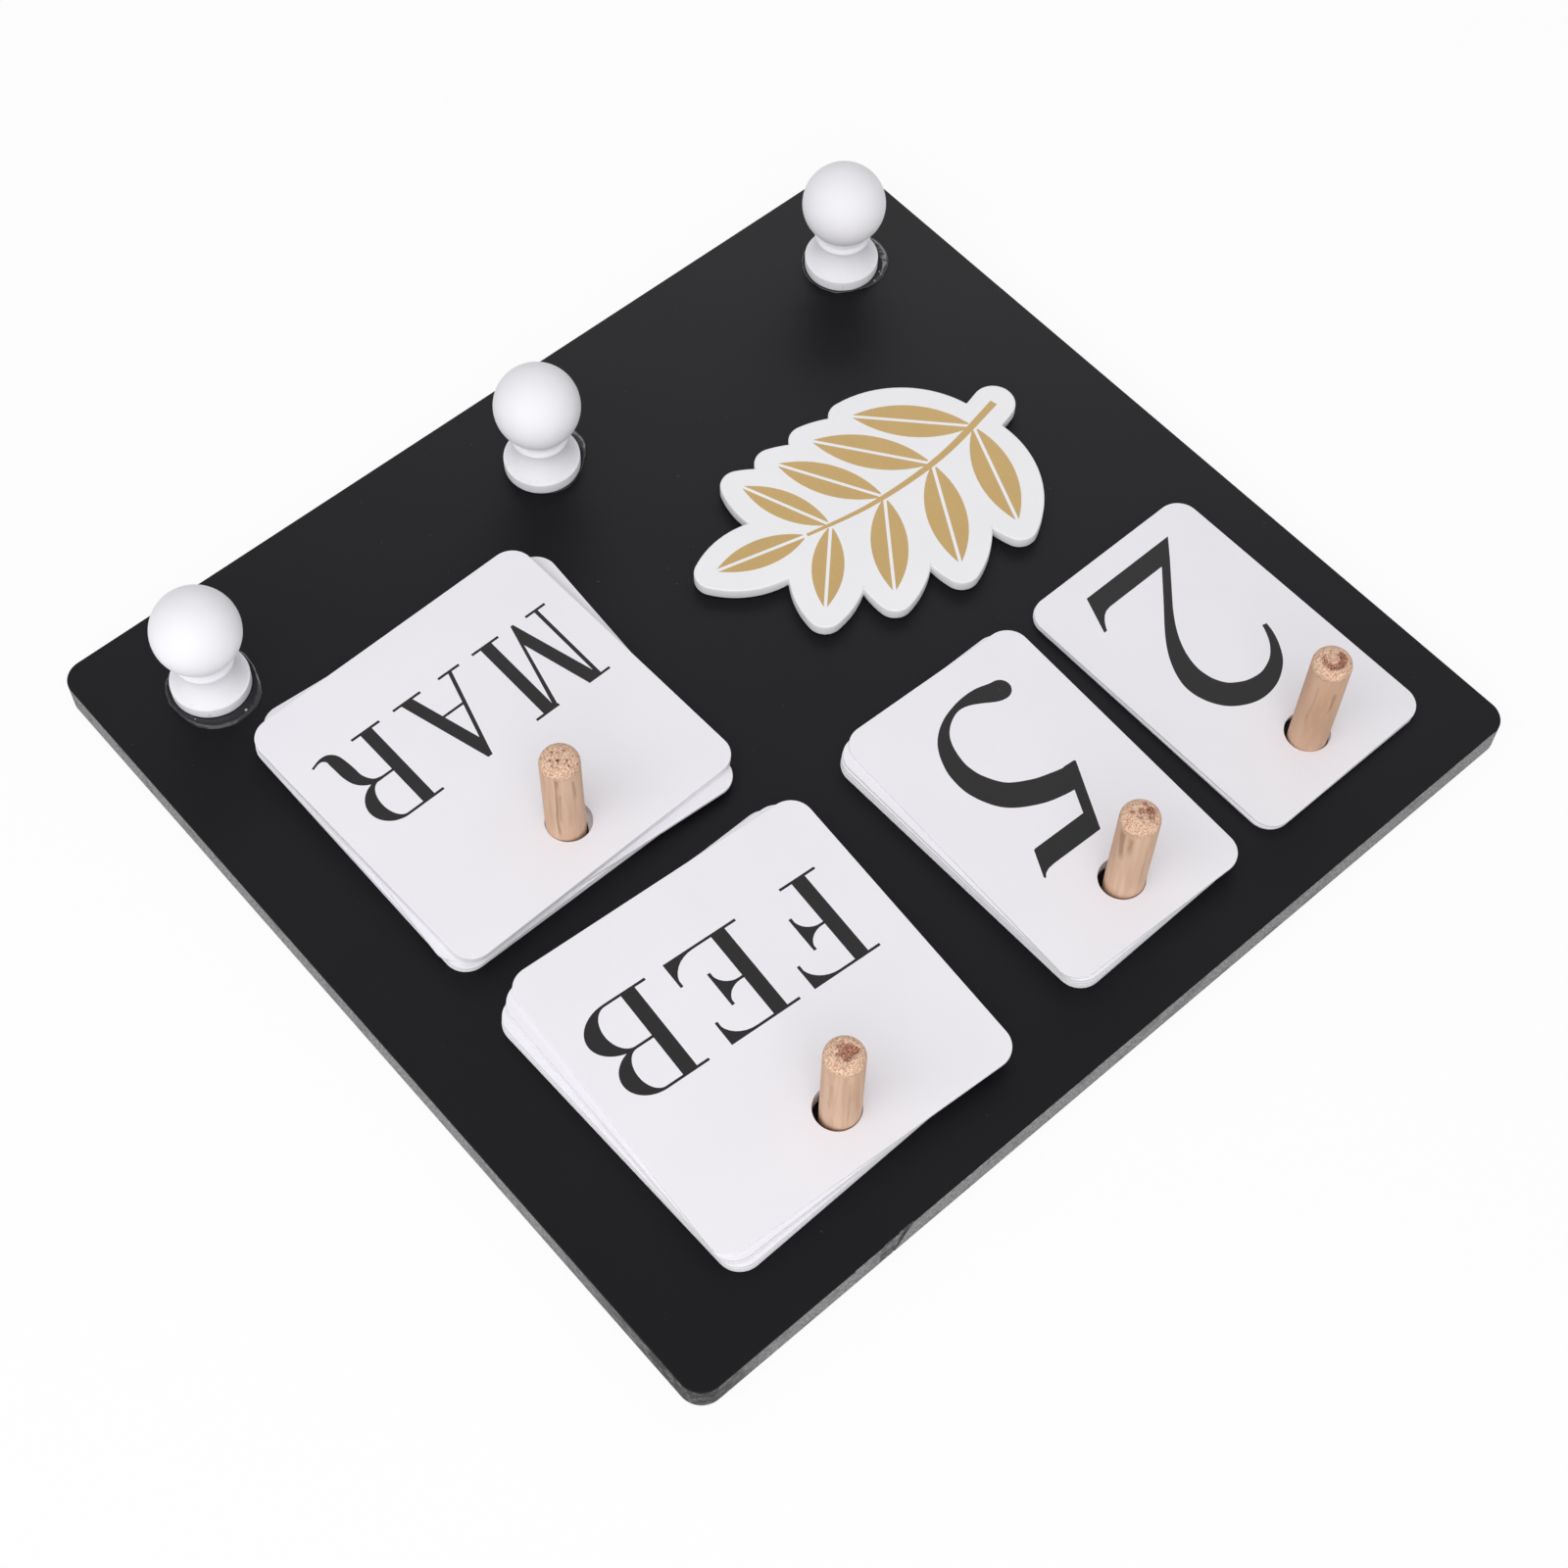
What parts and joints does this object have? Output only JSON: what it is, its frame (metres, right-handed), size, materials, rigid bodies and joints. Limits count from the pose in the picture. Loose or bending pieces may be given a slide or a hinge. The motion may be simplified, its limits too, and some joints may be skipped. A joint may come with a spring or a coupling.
{
  "type": "perpetual calendar",
  "caption": "Wall board perpetual calendar: number and month cards hang in piles on wooden pegs, above a row of turned key knobs and a cut plaque.",
  "frame": {"origin": "centre of the board's back face", "axes": "as the board hangs, +X to the right and +Y up; +Z out of the front face"},
  "size_m": [0.27, 0.25, 0.046],
  "materials": {
    "board_black": "fibreboard with a matte black face and raw dark grey edges",
    "peg_wood": "bare beech dowel with rough end grain",
    "knob_white": "turned wood, white satin paint",
    "glue_dark": "clear glossy glue squeezed out over black",
    "plaque_white": "contour-cut white board with a gold print",
    "tape": "double-sided adhesive strip",
    "card_white": "smooth white card with black print"
  },
  "bodies": {
    "board": {"board": "board_black", "peg_tens": "peg_wood", "peg_units": "peg_wood", "peg_month": "peg_wood", "peg_spare": "peg_wood", "knob_left": "knob_white", "knob_middle": "knob_white", "knob_right": "knob_white", "glue_left": "glue_dark", "glue_middle": "glue_dark", "glue_right": "glue_dark", "plaque": "plaque_white", "plaque_tape": "tape"},
    "tens_card_1": {"tens_card_1": "card_white"},
    "tens_card_2": {"tens_card_2": "card_white"},
    "units_card_1": {"units_card_1": "card_white"},
    "units_card_2": {"units_card_2": "card_white"},
    "units_card_3": {"units_card_3": "card_white"},
    "units_card_4": {"units_card_4": "card_white"},
    "units_card_5": {"units_card_5": "card_white"},
    "month_card_1": {"month_card_1": "card_white"},
    "month_card_2": {"month_card_2": "card_white"},
    "month_card_3": {"month_card_3": "card_white"},
    "month_card_4": {"month_card_4": "card_white"},
    "month_card_5": {"month_card_5": "card_white"},
    "month_card_6": {"month_card_6": "card_white"},
    "spare_card_1": {"spare_card_1": "card_white"},
    "spare_card_2": {"spare_card_2": "card_white"},
    "spare_card_3": {"spare_card_3": "card_white"},
    "spare_card_4": {"spare_card_4": "card_white"},
    "spare_card_5": {"spare_card_5": "card_white"},
    "spare_card_6": {"spare_card_6": "card_white"}
  },
  "joints": [
    {"name": "tens_swing", "type": "hinge", "parent": "board", "child": "tens_card_1", "pos_m": [-0.0915, 0.095, 0.009], "axis": [0, 0, 1], "range_deg": [-90, 2]},
    {"name": "tens_lift_2", "type": "slide", "parent": "tens_card_1", "child": "tens_card_2", "axis": [0, 0, 1], "range_m": [0, 0.04]},
    {"name": "units_swing", "type": "hinge", "parent": "board", "child": "units_card_1", "pos_m": [-0.026, 0.095, 0.009], "axis": [0, 0, 1], "range_deg": [-2, 5.5]},
    {"name": "units_lift_2", "type": "slide", "parent": "units_card_1", "child": "units_card_2", "axis": [0, 0, 1], "range_m": [0, 0.04]},
    {"name": "units_lift_3", "type": "slide", "parent": "units_card_2", "child": "units_card_3", "axis": [0, 0, 1], "range_m": [0, 0.04]},
    {"name": "units_lift_4", "type": "slide", "parent": "units_card_3", "child": "units_card_4", "axis": [0, 0, 1], "range_m": [0, 0.04]},
    {"name": "units_lift_5", "type": "slide", "parent": "units_card_4", "child": "units_card_5", "axis": [0, 0, 1], "range_m": [0, 0.04]},
    {"name": "month_swing", "type": "hinge", "parent": "board", "child": "month_card_1", "pos_m": [0.0665, 0.095, 0.009], "axis": [0, 0, 1], "range_deg": [-6, 12]},
    {"name": "month_lift_2", "type": "slide", "parent": "month_card_1", "child": "month_card_2", "axis": [0, 0, 1], "range_m": [0, 0.04]},
    {"name": "month_lift_3", "type": "slide", "parent": "month_card_2", "child": "month_card_3", "axis": [0, 0, 1], "range_m": [0, 0.04]},
    {"name": "month_lift_4", "type": "slide", "parent": "month_card_3", "child": "month_card_4", "axis": [0, 0, 1], "range_m": [0, 0.04]},
    {"name": "month_lift_5", "type": "slide", "parent": "month_card_4", "child": "month_card_5", "axis": [0, 0, 1], "range_m": [0, 0.04]},
    {"name": "month_lift_6", "type": "slide", "parent": "month_card_5", "child": "month_card_6", "axis": [0, 0, 1], "range_m": [0, 0.04]},
    {"name": "spare_swing", "type": "hinge", "parent": "board", "child": "spare_card_1", "pos_m": [0.0665, -0.005, 0.009], "axis": [0, 0, 1], "range_deg": [-4, 6]},
    {"name": "spare_lift_2", "type": "slide", "parent": "spare_card_1", "child": "spare_card_2", "axis": [0, 0, 1], "range_m": [0, 0.04]},
    {"name": "spare_lift_3", "type": "slide", "parent": "spare_card_2", "child": "spare_card_3", "axis": [0, 0, 1], "range_m": [0, 0.04]},
    {"name": "spare_lift_4", "type": "slide", "parent": "spare_card_3", "child": "spare_card_4", "axis": [0, 0, 1], "range_m": [0, 0.04]},
    {"name": "spare_lift_5", "type": "slide", "parent": "spare_card_4", "child": "spare_card_5", "axis": [0, 0, 1], "range_m": [0, 0.04]},
    {"name": "spare_lift_6", "type": "slide", "parent": "spare_card_5", "child": "spare_card_6", "axis": [0, 0, 1], "range_m": [0, 0.04]}
  ]
}
